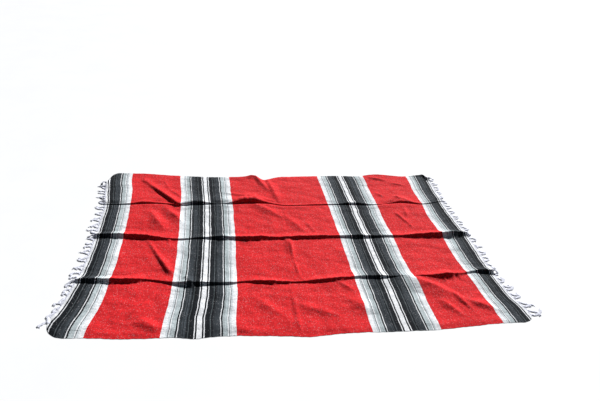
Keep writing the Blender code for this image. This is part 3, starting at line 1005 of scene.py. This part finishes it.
@dataclass(frozen=True)
class WhiteYarn(YarnFinish):
    """The fringe's finish: bleached, loosely spun warp yarn with winding fibres, its white toned to a
    lavender grey as painted shade, with painted groove shade along the fibres.
    """

    roughness: float = 0.92
    gloss: float = 0.15
    sheen: float = 0.05
    # The yarn's own white, toned to a lavender grey: painted bluish shade.
    colour: Colour = (0.78, 0.79, 0.87)
    # Painted shade: the darker colour of the grooves between the plies.
    painted_groove_shade: Colour = (0.66, 0.67, 0.77)
    fleck: Fleck = Fleck((0.35, 0.35, 0.38), 0.8, 3.5, 0.5)
    fleck_amount: float = 0.06
    wind: float = math.radians(24)
    painted_groove_share: float = 0.22
    painted_groove_contrast: float = 0.9
    fuzz_height: float = 0.25

    def material(self) -> Material:
        """Builds the material.

        Returns:
            The finished material.
        """
        surface = Surface("white_yarn", StrandDraft.map_name)
        inputs = {"Vector": surface.place, "Angle": self.wind, "Axis": (0.0, 0.0, 1.0)}
        surface.place = surface.node("ShaderNodeVectorRotate", inputs).outputs["Vector"]
        fuzz, shade = surface.use(self.effects.fibres, Thick=0.35, Long=3.0)[:2]
        # Painted shade: the fibres' noise mixes the darker groove colour into the yarn.
        share = surface.math("MULTIPLY_ADD", shade, self.painted_groove_contrast, self.painted_groove_share, clamp=True)
        colour = surface.mix(share, self.colour, self.painted_groove_shade)
        colour = self.flecked(surface, colour, self.fleck, self.fleck_amount)
        return self.finished(surface, colour, fuzz, surface.math("MULTIPLY", fuzz, self.fuzz_height))


@dataclass(frozen=True)
class PaleFloor:
    """The studio floor's finish: matt white paper."""

    colour: Colour = (0.90, 0.90, 0.90)
    shaded: Colour = (0.86, 0.86, 0.865)
    shaded_share: float = 0.3
    contrast: float = 1.5
    grain: float = 1 / 3
    roughness: float = 0.85
    gloss: float = 0.2

    def material(self) -> Material:
        """Builds the material.

        Returns:
            The finished material.
        """
        surface = Surface("white_paper")
        grain = surface.noise(surface.place, self.grain, self.grain, detail=6.0, rough=0.7)
        share = surface.math("MULTIPLY_ADD", grain, self.contrast, self.shaded_share, clamp=True)
        colour = surface.mix(share, self.colour, self.shaded)
        inputs = {"Base Color": colour, "Roughness": self.roughness, "Specular IOR Level": self.gloss}
        surface.feed(surface.shader, inputs)
        return surface.material


def finished_object(name: str, mesh: Mesh, material: Material) -> Object:
    """Puts a finished mesh into the scene as a smooth object at the origin.

    Args:
        name: The piece's name.
        mesh: Its mesh.
        material: Its finish.

    Returns:
        The object.
    """
    mesh.materials.append(material)
    mesh.shade_smooth()
    mesh.validate()
    made = bpy.data.objects.new(name, mesh)
    bpy.context.scene.collection.objects.link(made)
    return made


@dataclass
class WovenCloth:
    """The blanket's one-piece cloth: both sides on the same folds, with a rounded rim between them."""

    shape: ClothShape
    finish: StripedWeave
    line_pitch: float = 6.4 * MM
    close_pitch: float = 1.7 * MM
    close_reach: float = 0.013
    end_reach: float = 0.008
    corner_rows_from: float = 0.40
    rim_swell: float = 0.6 * MM
    name: str = "woven_cloth"
    map_name = "flat_cloth"

    def flat_grid(self) -> tuple[Array, Array]:
        """The mesh's places on the flat cloth.

        Returns:
            The place along and the place across of each point, indexed by column and then by row.
        """
        shape = self.shape
        ends = (-shape.half_length, shape.half_length)
        edges = (-shape.half_width, shape.half_width)
        columns = graded_lines(*ends, self.line_pitch, ends, self.close_pitch, self.end_reach)
        rows = graded_lines(
            *edges, self.line_pitch, edges + shape.fold_lines, self.close_pitch, self.close_reach
        )
        near, far = (limit[:, None] for limit in shape.limits(columns))
        start = self.corner_rows_from
        near_share = (near + start) / (start - shape.half_width)
        far_share = (far - start) / (shape.half_width - start)
        across = np.where(rows < -start, -start + (rows + start) * near_share, rows)
        across = np.where(rows > start, start + (rows - start) * far_share, across)
        return np.repeat(columns[:, None], rows.size, axis=1), across

    def build(self) -> Object:
        """Builds and dresses the cloth.

        Returns:
            The cloth.
        """
        along, across = self.flat_grid()
        shape = self.shape
        low, high = shape.both_sides(along.ravel(), across.ravel())
        upper = np.arange(along.size).reshape(along.shape)
        coarse = upper[::2, ::2]
        under = np.arange(coarse.size).reshape(coarse.shape) + upper.size
        loop, hem = self.outline(upper), self.outline(under)
        rim = [k + upper.size + under.size for k in (*range(len(loop) - 1), 0)]
        rim_points = self.rim_points(low, high, loop[:-1])
        faces = self.sheet_faces(upper) + [face[::-1] for face in self.sheet_faces(under)]
        for k in range(0, len(loop) - 1, 2):
            first, middle, last = loop[k : k + 3]
            a, b, c = rim[k : k + 3]
            start, end = hem[k // 2 : k // 2 + 2]
            faces += [[a, b, middle, first], [b, c, last, middle], [start, end, c, b, a]]
        flat = np.stack([along.ravel() + shape.half_length, across.ravel() + shape.half_width], -1)
        mesh = bpy.data.meshes.new(self.name)
        mesh.from_pydata(np.concatenate([high, low[coarse.ravel()], rim_points]).tolist(), [], faces)
        self.lay_map(mesh, np.concatenate([flat, flat[coarse.ravel()], flat[loop[:-1]]]))
        return finished_object(self.name, mesh, self.finish.material())

    @staticmethod
    def outline(grid: Array) -> list[int]:
        """A grid's outline, counterclockwise from its near left corner and back to it."""
        sides = (grid[:-1, 0], grid[-1, :-1], grid[:0:-1, -1], grid[0, :0:-1], grid[:1, 0])
        return np.concatenate(sides).tolist()

    @staticmethod
    def sheet_faces(grid: Array) -> list[list[int]]:
        """The four-sided faces of a grid of points, facing up."""
        corners = (grid[:-1, :-1], grid[1:, :-1], grid[1:, 1:], grid[:-1, 1:])
        return np.stack([corner.ravel() for corner in corners], -1).tolist()

    def rim_points(self, low: Array, high: Array, loop: list[int]) -> Array:
        """The points half way up the cloth's rim, swelling out a little.

        Args:
            low: The underside's points.
            high: The upper side's points.
            loop: The outline's points, counterclockwise.

        Returns:
            One point for each point of the outline.
        """
        middle = (low[loop] + high[loop]) / 2
        run = np.roll(middle, -1, axis=0) - np.roll(middle, 1, axis=0)
        out = np.stack([run[:, 1], -run[:, 0]], -1)
        out /= np.linalg.norm(out, axis=1, keepdims=True)
        middle[:, :2] += out * self.rim_swell
        return middle

    def lay_map(self, mesh: Mesh, flat: Array) -> None:
        """Gives the mesh a map in metres of the flat cloth, from its near left corner.

        Args:
            mesh: The cloth's mesh.
            flat: The place of each of its points on the flat cloth.
        """
        layer = mesh.uv_layers.new(name=self.map_name)
        corners = np.empty(len(mesh.loops), np.int32)
        mesh.loops.foreach_get("vertex_index", corners)
        layer.uv.foreach_set("vector", flat[corners].astype(np.float32).ravel())


def passed_along(line: Array) -> Array:
    """How far along a line each of its points is."""
    return np.concatenate([[0.0], np.cumsum(np.linalg.norm(np.diff(line, axis=0), axis=1))])


class StrandDraft:
    """Gathers strands of yarn into one mesh, with a map that runs along each of them."""

    map_name = "along_yarn"
    knot_points = 29
    knot_sides = 6
    knot_lean = (0.45, 0.89)
    knot_depth = 0.45
    knot_press = 0.5

    def __init__(self, press: float = 1.0) -> None:
        """Starts with no strands.

        Args:
            press: How thick a strand lies, as a share of how wide it is.
        """
        self.press = np.array((1.0, 1.0, press))
        self.points: list[Array] = []
        self.faces: list[list[int]] = []
        self.places: list[Array] = []
        self.count = 0

    @staticmethod
    def sides_of(line: Array) -> tuple[Array, Array]:
        """Two directions square to a line at each of its points, carried along it without a twist.

        Args:
            line: The points of the line.

        Returns:
            The two directions at each point.
        """
        run = np.gradient(line, axis=0)
        run /= np.linalg.norm(run, axis=1, keepdims=True)
        side = np.cross(run[0], (0.0, 0.0, 1.0))
        if np.linalg.norm(side) < 0.1:
            side = np.cross(run[0], (0.0, 1.0, 0.0))
        sides = []
        for way in run:
            side = side - way * (side @ way)
            side /= np.linalg.norm(side)
            sides.append(side)
        return np.array(sides), np.cross(run, sides)

    def add_strand(self, line: Array, radii: Array | float, sides: int) -> None:
        """Adds one round strand.

        Args:
            line: The points of its middle.
            radii: Its radius, or its radius at each point.
            sides: How many sides it has.
        """
        across, upward = self.sides_of(line)
        radii = np.broadcast_to(radii, len(line))
        turns = np.arange(sides)[None, :, None] * 2 * math.pi / sides
        ring = np.cos(turns) * across[:, None] + np.sin(turns) * upward[:, None]
        points = line[:, None] + ring * radii[:, None, None] * self.press
        grid = np.arange(len(line) * sides).reshape(-1, sides) + self.count
        beside = np.roll(grid, -1, axis=1)
        quads = np.stack([grid[:-1], beside[:-1], beside[1:], grid[1:]], -1).reshape(-1, 4)
        passed = passed_along(line)
        around = np.arange(sides + 1) * 2 * math.pi * float(radii[0]) / sides
        flat = np.stack(np.broadcast_arrays(around, passed[:, None]), -1)
        places = np.stack([flat[:-1, :-1], flat[:-1, 1:], flat[1:, 1:], flat[1:, :-1]], 2)
        self.points.append(points.reshape(-1, 3))
        self.faces += quads.tolist() + [grid[0][::-1].tolist(), grid[-1].tolist()]
        self.places += [places.reshape(-1, 2), flat[0, :-1], flat[-1, :-1]]
        self.count += grid.size

    def add_twist(
        self, line: Array, radius: float, offset: float, pitch: float, plies: int, sides: int
    ) -> None:
        """Adds a cord of plies that wind round each other.

        Args:
            line: The points of the cord's middle.
            radius: The radius of each ply.
            offset: How far the middle of a ply is from the cord's.
            pitch: The length in which a ply goes once round.
            plies: How many plies there are.
            sides: How many sides a ply has.
        """
        across, upward = self.sides_of(line)
        for k in range(plies):
            turn = (passed_along(line)[:, None] / pitch + k / plies) * 2 * math.pi
            wound = across * np.cos(turn) + upward * np.sin(turn)
            self.add_strand(line + wound * offset * self.press, radius, sides)

    def add_knot(self, middle: Array, way: Array, size: float, radius: float) -> None:
        """Adds an overhand knot, drawn tight.

        Args:
            middle: The middle of the knot.
            way: The direction of the cord through it.
            size: How far the knot reaches from its middle.
            radius: The radius of the yarn in it.
        """
        way = way / np.linalg.norm(way)
        side = np.cross(way, (0.0, 0.0, 1.0))
        side /= max(np.linalg.norm(side), 1e-6)
        t = np.linspace(0, 2 * math.pi, self.knot_points)[:, None]
        cos, sin = self.knot_lean
        line = (np.sin(t) + 2 * np.sin(2 * t)) / 3 * (way * cos + side * sin)
        line += (np.cos(t) - 2 * np.cos(2 * t)) / 3 * np.cross(side, way)
        line -= np.sin(3 * t) * self.knot_depth * (way * sin - side * cos)
        line = middle + size * line * np.maximum(self.press, self.knot_press)
        self.add_strand(line, radius, self.knot_sides)

    def mesh(self, name: str) -> Mesh:
        """Makes the mesh of all the strands, with nothing of it below the ground.

        Args:
            name: The mesh's name.

        Returns:
            The mesh.
        """
        points = np.concatenate(self.points)
        points[:, 2] = np.maximum(points[:, 2], 0.0)
        made = bpy.data.meshes.new(name)
        made.from_pydata(points.tolist(), [], self.faces)
        layer = made.uv_layers.new(name=self.map_name)
        layer.uv.foreach_set("vector", np.concatenate(self.places).astype(np.float32).ravel())
        return made


class Lie(NamedTuple):
    """How tassels lie at one place across: their turn towards +Y in radians, their cords' length in mm."""

    across: float
    left_turn: float
    left_reach: float
    right_turn: float
    right_reach: float


LIES = table(
    Lie,
    (-0.64, -0.90, 26, -0.20, 66), (-0.54, -1.10, 27, 0.35, 46), (-0.47, -0.90, 24, 0.15, 38),
    (-0.40, -0.70, 24, 0.40, 34), (-0.33, -0.35, 24, 0.10, 22), (-0.25, -0.10, 33, -0.10, 18),
    (-0.15, 0.10, 30, 0.15, 22), (-0.05, -0.20, 24, 0.00, 26), (0.05, 0.20, 30, -0.15, 20),
    (0.15, -0.10, 31, 0.10, 22), (0.28, 0.15, 32, 0.18, 22), (0.40, 0.00, 28, 0.05, 20),
    (0.52, 0.30, 22, 0.22, 25), (0.66, 0.40, 18, 0.10, 20),
)


class End(Enum):
    """The two short ends of the blanket, by the way that their fringe points along X."""

    LEFT = -1
    RIGHT = 1


@dataclass
class KnottedFringe:
    """The row of twisted, knotted tassels on one short end, with the cord that locks the last weft."""

    shape: ClothShape
    finish: WhiteYarn
    end: End
    pitch: float = 27.5 * MM
    edge_points: int = 400
    end_margin: float = 3.0 * MM
    lock_plies: int = 2
    thin_sides: int = 5
    lock_step: float = 1.3 * MM
    lock_radius: float = 0.8 * MM
    lock_offset: float = 0.7 * MM
    lock_pitch: float = 7.0 * MM
    lock_out: float = 1.9 * MM
    knot_out: float = 11.0 * MM
    knot_stray: float = 3.0
    knot_drop: float = 1.0 * MM
    first_knot: float = 1.1
    knot_size: float = 3.4 * MM
    knot_yarn: float = 1.5 * MM
    ply_radius: float = 3.0 * MM
    ply_offset: float = 3.4 * MM
    ply_pitch: float = 30.0 * MM
    plies: int = 4
    ply_sides: int = 7
    fan_yarns: int = 7
    fan_points: int = 6
    fan_reach: float = 13.0 * MM
    fan_radius: float = 2.1 * MM
    fan_bend: float = 0.45
    reach_stray: float = 0.28
    turn_stray: float = 0.30
    mate_turn: float = 0.42
    curl: float = 0.7
    hooks: tuple[float, ...] = (0.0, 0.0, 1.0, -1.0)
    hook_turn: tuple[float, float] = (1.0, 2.6)
    hook_from: float = 0.55
    cord_points: int = 26
    press: float = 0.24
    droop_reach: float = 30.0 * MM
    frays: int = 8
    fray_points: int = 5
    fray_sides: int = 4
    fray_spread: float = 0.45
    fray_stray: float = 0.1
    fray_reach: tuple[float, float] = (5.0, 11.0)
    fray_bend: float = 0.5
    fray_rest: tuple[float, float] = (0.6, 2.6)
    fray_radius: tuple[float, float] = (0.90, 0.35)
    seed: int = 11
    draws: random.Random = field(init=False)
    draft: StrandDraft = field(init=False)
    edge: Array = field(init=False)

    def __post_init__(self) -> None:
        """Seeds the fringe's own draws, and reads the cloth's end, half way up its thickness."""
        self.draws = random.Random(self.seed + self.end.value)
        self.draft = StrandDraft(self.press)
        along = np.full(self.edge_points, self.end.value * self.shape.half_length)
        near, far = self.shape.limits(along[:1])
        low, high = self.shape.both_sides(along, np.linspace(near[0], far[0], along.size))
        self.edge = (low + high) / 2

    @property
    def name(self) -> str:
        """The piece's name."""
        return self.end.name.lower() + "_tassels"

    @property
    def node(self) -> str:
        """The solid that the piece stands for."""
        return "fringe_" + self.end.name.lower()

    def on_edge(self, y: Array | float, out: float = 0.0) -> Array:
        """The points of the cloth's end at each Y, moved outward by a distance."""
        x, y, z = (np.interp(y, self.edge[:, 1], values) for values in self.edge.T)
        return np.stack([x + self.end.value * out, y, z], -1)

    def build(self) -> Object:
        """Builds and dresses the fringe.

        Returns:
            The fringe.
        """
        start, stop = self.edge[0, 1], self.edge[-1, 1]
        lock = self.on_edge(np.linspace(start, stop, int((stop - start) / self.lock_step)), self.lock_out)
        sizes = (self.lock_radius, self.lock_offset, self.lock_pitch)
        self.draft.add_twist(lock, *sizes, self.lock_plies, self.thin_sides)
        steps = round((stop - start - 2 * self.end_margin) / self.pitch)
        for k, root_y in enumerate(np.linspace(start + self.end_margin, stop - self.end_margin, steps + 1)):
            self.add_tassel(root_y, (-1) ** k)
        return finished_object(self.name, self.draft.mesh(self.name), self.finish.material())

    def add_tassel(self, root_y: float, to_mate: int) -> None:
        """Adds one tassel: a fan of warp yarns, a knot, a twisted cord, a small knot and frayed ends.

        Args:
            root_y: Where it leaves the cloth.
            to_mate: 1 if the tassel that it leans to is on the +Y side, -1 if it is on the other.
        """
        knot = self.on_edge(root_y, self.knot_out)
        knot[1] += self.stray(self.knot_stray) * MM
        thick = (self.ply_radius + self.ply_offset) * self.press
        knot[2] = max(thick, knot[2] - self.knot_drop)
        self.add_fan(root_y, knot)
        line = self.tassel_line(knot, root_y, to_mate, thick)
        draft = self.draft
        sizes = (self.ply_radius, self.ply_offset, self.ply_pitch)
        draft.add_twist(line, *sizes, self.plies, self.ply_sides)
        size, yarn = self.knot_size, self.knot_yarn
        draft.add_knot(knot, line[2] - line[0], size * self.first_knot, yarn * self.first_knot)
        draft.add_knot(line[-3], line[-1] - line[-4], size, yarn)
        self.add_frays(line[-1], line[-1] - line[-3])

    def stray(self, most: float) -> float:
        """Draws a number from -most to most."""
        return self.draws.uniform(-most, most)

    def add_fan(self, root_y: float, knot: Array) -> None:
        """Adds the warp yarns that run from the cloth's end into a tassel's first knot.

        Args:
            root_y: Where the tassel leaves the cloth.
            knot: The knot.
        """
        u = np.linspace(0, 1, self.fan_points)[:, None]
        for y in root_y + self.fan_reach * np.linspace(-1, 1, self.fan_yarns):
            start = self.on_edge(y)
            bend = self.on_edge(y, self.knot_out * self.fan_bend)
            line = (1 - u) ** 2 * start + 2 * u * (1 - u) * bend + u * u * knot
            self.draft.add_strand(line, self.fan_radius, self.thin_sides)

    def tassel_line(self, knot: Array, root_y: float, to_mate: int, thick: float) -> Array:
        """The middle of one tassel's twisted cord, which droops to the ground and lies level there.

        Args:
            knot: The first knot, where the cord starts.
            root_y: Where the tassel leaves the cloth.
            to_mate: 1 if the tassel that it leans to is on the +Y side, -1 if it is on the other.
            thick: The cord's half thickness.

        Returns:
            The points of the cord's middle.
        """
        at, side = np.array([root_y]), self.end.name.lower()
        reach = float(column(LIES, side + "_reach", at)[0]) * MM * (1 + self.stray(self.reach_stray))
        lean = float(column(LIES, side + "_turn", at)[0]) + self.stray(self.turn_stray)
        lean += self.mate_turn * to_mate
        curl = self.stray(self.curl)
        hook = self.draws.choice(self.hooks) * self.draws.uniform(*self.hook_turn)
        share = np.linspace(0, 1, self.cord_points)
        hooked = np.clip((share - self.hook_from) / (1 - self.hook_from), 0, 1) ** 1.5
        turn = lean + curl * np.cos(math.pi * share) + hook * hooked
        step = reach / (self.cord_points - 1)
        out, beside = (np.concatenate([[0.0], np.cumsum(way(turn[1:]))]) * step for way in (np.cos, np.sin))
        fall = np.clip(1 - share * reach / self.droop_reach, 0, 1) ** 1.5
        z = thick + (knot[2] - thick) * fall
        return np.stack([knot[0] + self.end.value * out, knot[1] + beside, z], -1)

    def add_frays(self, tip: Array, way: Array) -> None:
        """Adds the loose yarn ends past a tassel's last knot.

        Args:
            tip: Where they start.
            way: The direction of the cord there.
        """
        heading = math.atan2(way[1], way[0])
        share = np.linspace(0, 1, self.fray_points)
        radii = np.interp(share, (0, 1), self.fray_radius) * MM
        for spread in np.linspace(-self.fray_spread, self.fray_spread, self.frays):
            start = heading + spread + self.stray(self.fray_stray)
            reach = self.draws.uniform(*self.fray_reach) * MM
            turn = start + self.stray(self.fray_bend) * share
            x, y = (np.cumsum(way(turn)) * reach / self.fray_points for way in (np.cos, np.sin))
            z = tip[2] * (1 - share) + self.draws.uniform(*self.fray_rest) * MM * share
            self.draft.add_strand(np.stack([tip[0] + x, tip[1] + y, z], -1), radii, self.fray_sides)


@dataclass
class Studio:
    """The pale floor, the soft light from the far right, and the camera at the photograph's place."""

    finish: PaleFloor
    floor_reach: float = 40.0
    floor_sides: int = 96
    floor_rim: float = 4.0
    light_away: float = 6.0
    nearest_seen: float = 0.05
    lens: float = 32.254
    sensor: float = 36.0
    pitch: float = 0.5090928
    yaw: float = 0.172108
    roll: float = 0.0811457
    eye: tuple[float, float, float] = (-0.33253, -2.16725, 1.43742)
    light_heading: float = math.radians(52)
    light_height: float = math.radians(28)
    light_strength: float = 7.2
    light_spread: float = math.radians(3.5)
    fill_colour: Colour = (0.68, 0.86, 1.10)
    backdrop: Colour = (0.96, 0.97, 0.98)
    fill_strength: float = 0.055

    def build(self) -> None:
        """Builds the whole studio."""
        self.add_floor()
        self.add_light()
        self.add_camera()

    def add_floor(self) -> None:
        """Adds the floor as one large level sheet."""
        bpy.ops.object.select_all(action="DESELECT")
        sizes = {"vertices": self.floor_sides, "radius": self.floor_reach}
        bpy.ops.mesh.primitive_circle_add(**sizes, fill_type="NGON")
        floor = bpy.context.active_object
        floor.name = "floor"
        bpy.ops.object.mode_set(mode="EDIT")
        bpy.ops.mesh.select_all(action="SELECT")
        bpy.ops.mesh.inset(thickness=self.floor_rim)
        bpy.ops.object.mode_set(mode="OBJECT")
        floor.data.materials.append(self.finish.material())

    def add_light(self) -> None:
        """Adds the main light and the pale surroundings that fill the shadows."""
        light = bpy.data.lights.new("key", "SUN")
        light.energy = self.light_strength
        light.angle = self.light_spread
        holder = bpy.data.objects.new("key", light)
        flat = math.cos(self.light_height)
        heading, height = self.light_heading, self.light_height
        towards = Vector((flat * math.cos(heading), flat * math.sin(heading), math.sin(height)))
        holder.location = towards * self.light_away
        holder.rotation_mode = "QUATERNION"
        holder.rotation_quaternion = (-towards).to_track_quat("-Z", "Y")
        bpy.context.scene.collection.objects.link(holder)
        world = bpy.data.worlds.new("surroundings")
        world.use_nodes = True
        wiring = Wiring(world.node_tree)
        fill = world.node_tree.nodes["Background"]
        wiring.feed(fill.inputs, {"Color": (*self.fill_colour, 1.0), "Strength": self.fill_strength})
        backdrop = wiring.node("ShaderNodeBackground", {"Color": (*self.backdrop, 1.0), "Strength": 1.0})
        seen = wiring.node("ShaderNodeLightPath").outputs["Is Camera Ray"]
        both = wiring.node("ShaderNodeMixShader", {0: seen, 1: fill.outputs[0], 2: backdrop.outputs[0]})
        wiring.feed(world.node_tree.nodes["World Output"].inputs, {"Surface": both.outputs[0]})
        bpy.context.scene.world = world
        bpy.context.scene.view_settings.view_transform = "Standard"

    def add_camera(self) -> None:
        """Adds the camera where the photograph was taken from."""
        data = bpy.data.cameras.new("camera")
        data.lens = self.lens
        data.sensor_width = self.sensor
        data.sensor_fit = "HORIZONTAL"
        data.clip_start = self.nearest_seen
        camera = bpy.data.objects.new("camera", data)
        bpy.context.scene.collection.objects.link(camera)
        flat = math.cos(self.pitch)
        ahead = Vector((math.sin(self.yaw) * flat, math.cos(self.yaw) * flat, -math.sin(self.pitch)))
        level = Vector((math.cos(self.yaw), -math.sin(self.yaw), 0.0))
        above = level.cross(ahead)
        right = math.cos(self.roll) * level + math.sin(self.roll) * above
        upward = -math.sin(self.roll) * level + math.cos(self.roll) * above
        turned = Matrix((right, upward, -ahead)).transposed().to_4x4()
        turned.translation = self.eye
        camera.matrix_world = turned
        bpy.context.scene.camera = camera


def settle_piece(piece: Object, node: str) -> None:
    """Lets a finished piece stand for its solid, and reports it.

    Args:
        piece: The piece.
        node: The solid's name.
    """
    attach(piece, "root")
    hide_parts(node)
    piece.data.calc_loop_triangles()
    log.info("%s stands for %s, with %d triangles", piece.name, node, len(piece.data.loop_triangles))


def main() -> None:
    """Builds the studio, the cloth and its two fringes, in that order."""
    logging.basicConfig(level=logging.INFO, format="%(name)s: %(message)s")
    Studio(PaleFloor()).build()
    shape = ClothShape()
    effects = YarnEffects()
    cloth = WovenCloth(shape, StripedWeave(effects, length=shape.length)).build()
    settle_piece(cloth, "blanket")
    for end in End:
        fringe = KnottedFringe(shape, WhiteYarn(effects), end)
        made = fringe.build()
        settle_piece(made, fringe.node)


if __name__ == "__main__":
    main()
